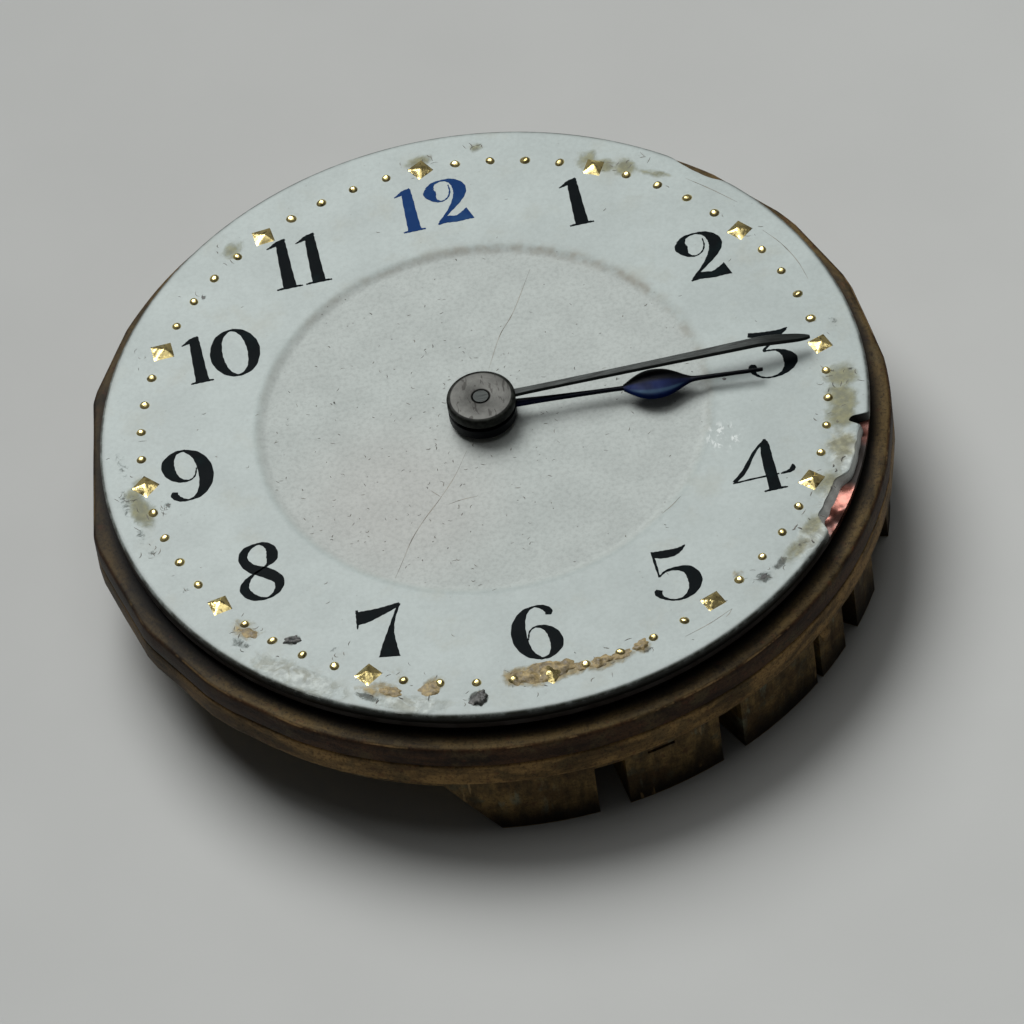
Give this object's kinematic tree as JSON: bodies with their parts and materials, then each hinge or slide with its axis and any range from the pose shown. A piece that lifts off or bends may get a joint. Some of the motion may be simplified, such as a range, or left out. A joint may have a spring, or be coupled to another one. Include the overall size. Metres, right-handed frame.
{
  "type": "watch movement",
  "caption": "Bar-type mechanical watch movement with a white enamel dial, gilt hour studs, a blued pear hour hand, a going train, balance and winding work under separate bars.",
  "frame": {"origin": "on the hands axis, at the outer faces of the bars that the movement rests on", "axes": "+Z out of the dial, +Y towards 12 on the dial, +X towards 3, along the winding stem"},
  "size_m": [0.0294, 0.0294, 0.007],
  "materials": {
    "plate_brass": "old gilt brass, browned at the edge",
    "bar_brass": "gilt brass, darkened on the outer walls",
    "wheel_brass": "gilt brass",
    "enamel": "white enamel, aged, hairline cracks",
    "copper": "bare copper",
    "gilt": "polished gilt",
    "hand_steel": "worn grey steel",
    "blued_steel": "blued steel",
    "steel": "polished steel",
    "spring_steel": "spring steel",
    "jewel": "red jewel"
  },
  "bodies": {
    "frame": {"main_plate": "plate_brass", "dial_enamel": "enamel", "dial_copper": "copper", "hour_studs": "gilt", "minute_dots": "gilt", "barrel_bridge": "bar_brass", "centre_cock": "bar_brass", "third_cock": "bar_brass", "fourth_cock": "bar_brass", "escape_cock": "bar_brass", "balance_cock": "bar_brass", "pallet_cock": "bar_brass", "pallet_cock_screw": "blued_steel", "cap_setting": "steel", "hole_jewels": "jewel", "bar_screws": "blued_steel", "dial_screws": "blued_steel", "setting_lever_screw": "blued_steel", "yoke_spring": "steel", "setting_lever_spring": "steel", "crown_wheel_core": "steel", "crown_wheel_screw": "blued_steel", "click_spring": "spring_steel"},
    "centre": {"centre_wheel": "wheel_brass", "centre_pinion": "steel", "cannon_pinion": "steel", "minute_hand": "hand_steel"},
    "hour": {"hour_wheel": "wheel_brass", "hour_hand": "blued_steel"},
    "motion": {"minute_wheel": "wheel_brass", "minute_wheel_pinion": "steel"},
    "setting": {"setting_wheel": "steel"},
    "barrel": {"barrel_drum": "wheel_brass", "barrel_cover": "wheel_brass", "mainspring": "spring_steel"},
    "third": {"third_wheel": "wheel_brass", "third_pinion": "steel"},
    "fourth": {"fourth_wheel": "wheel_brass", "fourth_pinion": "steel"},
    "escape": {"escape_wheel": "wheel_brass", "escape_pinion": "steel"},
    "pallets": {"pallet_lever": "steel", "pallet_arbor": "steel", "pallet_stones": "jewel"},
    "balance": {"balance_wheel": "gilt", "balance_screws": "gilt", "balance_staff": "steel", "roller": "steel", "hairspring": "blued_steel"},
    "index": {"regulator": "steel"},
    "winder": {"winding_pinion": "steel"},
    "stem": {"winding_stem": "steel"},
    "clutch": {"sliding_clutch": "steel"},
    "crown": {"crown_wheel": "steel"},
    "ratchet": {"ratchet_wheel": "steel", "ratchet_screw": "blued_steel", "barrel_arbor": "steel"},
    "click_pawl": {"click": "steel"},
    "detent": {"setting_lever": "steel"},
    "yoke_arm": {"yoke": "steel"}
  },
  "joints": [
    {"name": "minute_turn", "type": "hinge", "parent": "frame", "child": "centre", "pos_m": [0, 0, 0.002], "axis": [0, 0, -1], "continuous": true},
    {"name": "hour_turn", "type": "hinge", "parent": "frame", "child": "hour", "pos_m": [0, 0, 0.002], "axis": [0, 0, -1], "continuous": true},
    {"name": "minute_wheel_turn", "type": "hinge", "parent": "frame", "child": "motion", "pos_m": [0.003, 0, 0.002], "axis": [0, 0, -1], "continuous": true},
    {"name": "setting_wheel_turn", "type": "hinge", "parent": "frame", "child": "setting", "pos_m": [0.00637, 0, 0.002], "axis": [0, 0, -1], "continuous": true},
    {"name": "barrel_turn", "type": "hinge", "parent": "frame", "child": "barrel", "pos_m": [0.00356, 0.00508, 0.002], "axis": [0, 0, -1], "continuous": true},
    {"name": "third_turn", "type": "hinge", "parent": "frame", "child": "third", "pos_m": [0.00261, -0.00452, 0.002], "axis": [0, 0, -1], "continuous": true},
    {"name": "fourth_turn", "type": "hinge", "parent": "frame", "child": "fourth", "pos_m": [-0.00122, -0.00637, 0.002], "axis": [0, 0, -1], "continuous": true},
    {"name": "escape_turn", "type": "hinge", "parent": "frame", "child": "escape", "pos_m": [-0.00481, -0.00452, 0.002], "axis": [0, 0, -1], "continuous": true},
    {"name": "pallet_swing", "type": "hinge", "parent": "frame", "child": "pallets", "pos_m": [-0.00641, -0.00239, 0.002], "axis": [0, 0, 1], "range_deg": [-5, 5]},
    {"name": "balance_swing", "type": "hinge", "parent": "frame", "child": "balance", "pos_m": [-0.00821, 0, 0.002], "axis": [0, 0, 1], "range_deg": [-270, 270], "stiffness_Nm_per_rad": 0.00000032, "deforming": ["hairspring"]},
    {"name": "regulator_turn", "type": "hinge", "parent": "frame", "child": "index", "pos_m": [-0.00821, 0, 0.002], "axis": [0, 0, 1], "range_deg": [-25, 25]},
    {"name": "winding_turn", "type": "hinge", "parent": "frame", "child": "winder", "pos_m": [0, 0, 0.0026], "axis": [1, 0, 0], "range_deg": [0, 720]},
    {"name": "stem_pull", "type": "slide", "parent": "winder", "child": "stem", "axis": [1, 0, 0], "range_m": [0, 0.0008]},
    {"name": "clutch_slide", "type": "slide", "parent": "winder", "child": "clutch", "axis": [1, 0, 0], "range_m": [-0.0007, 0]},
    {"name": "crown_wheel_turn", "type": "hinge", "parent": "frame", "child": "crown", "pos_m": [0.0084, 0, 0.002], "axis": [0, 0, 1], "range_deg": [0, 533.33]},
    {"name": "ratchet_turn", "type": "hinge", "parent": "frame", "child": "ratchet", "pos_m": [0.00356, 0.00508, 0.002], "axis": [0, 0, 1], "range_deg": [-288, 0]},
    {"name": "click_swing", "type": "hinge", "parent": "frame", "child": "click_pawl", "pos_m": [0.00473, 0.01071, 0.002], "axis": [0, 0, 1], "range_deg": [-11, 5]},
    {"name": "setting_lever_swing", "type": "hinge", "parent": "frame", "child": "detent", "pos_m": [0.01215, -0.0029, 0.002], "axis": [0, 0, 1], "range_deg": [-19.57, 0]},
    {"name": "yoke_swing", "type": "hinge", "parent": "frame", "child": "yoke_arm", "pos_m": [0.00925, -0.0035, 0.002], "axis": [0, 0, 1], "range_deg": [0, 14.48], "deforming": ["yoke_spring"]}
  ],
  "couplings": [
    {"joint": "hour_turn", "follows": "minute_turn", "ratio": 0.083333},
    {"joint": "minute_wheel_turn", "follows": "minute_turn", "ratio": -0.33333},
    {"joint": "setting_wheel_turn", "follows": "minute_turn", "ratio": 0.66667},
    {"joint": "barrel_turn", "follows": "minute_turn", "ratio": -0.14286},
    {"joint": "third_turn", "follows": "minute_turn", "ratio": -8},
    {"joint": "fourth_turn", "follows": "minute_turn", "ratio": 60},
    {"joint": "escape_turn", "follows": "minute_turn", "ratio": -600},
    {"joint": "crown_wheel_turn", "follows": "winding_turn", "ratio": 0.74074},
    {"joint": "ratchet_turn", "follows": "winding_turn", "ratio": -0.4},
    {"joint": "clutch_slide", "follows": "stem_pull", "ratio": -0.875},
    {"joint": "setting_lever_swing", "follows": "stem_pull", "rad_per_m": -426.88},
    {"joint": "yoke_swing", "follows": "stem_pull", "rad_per_m": 315.85}
  ]
}
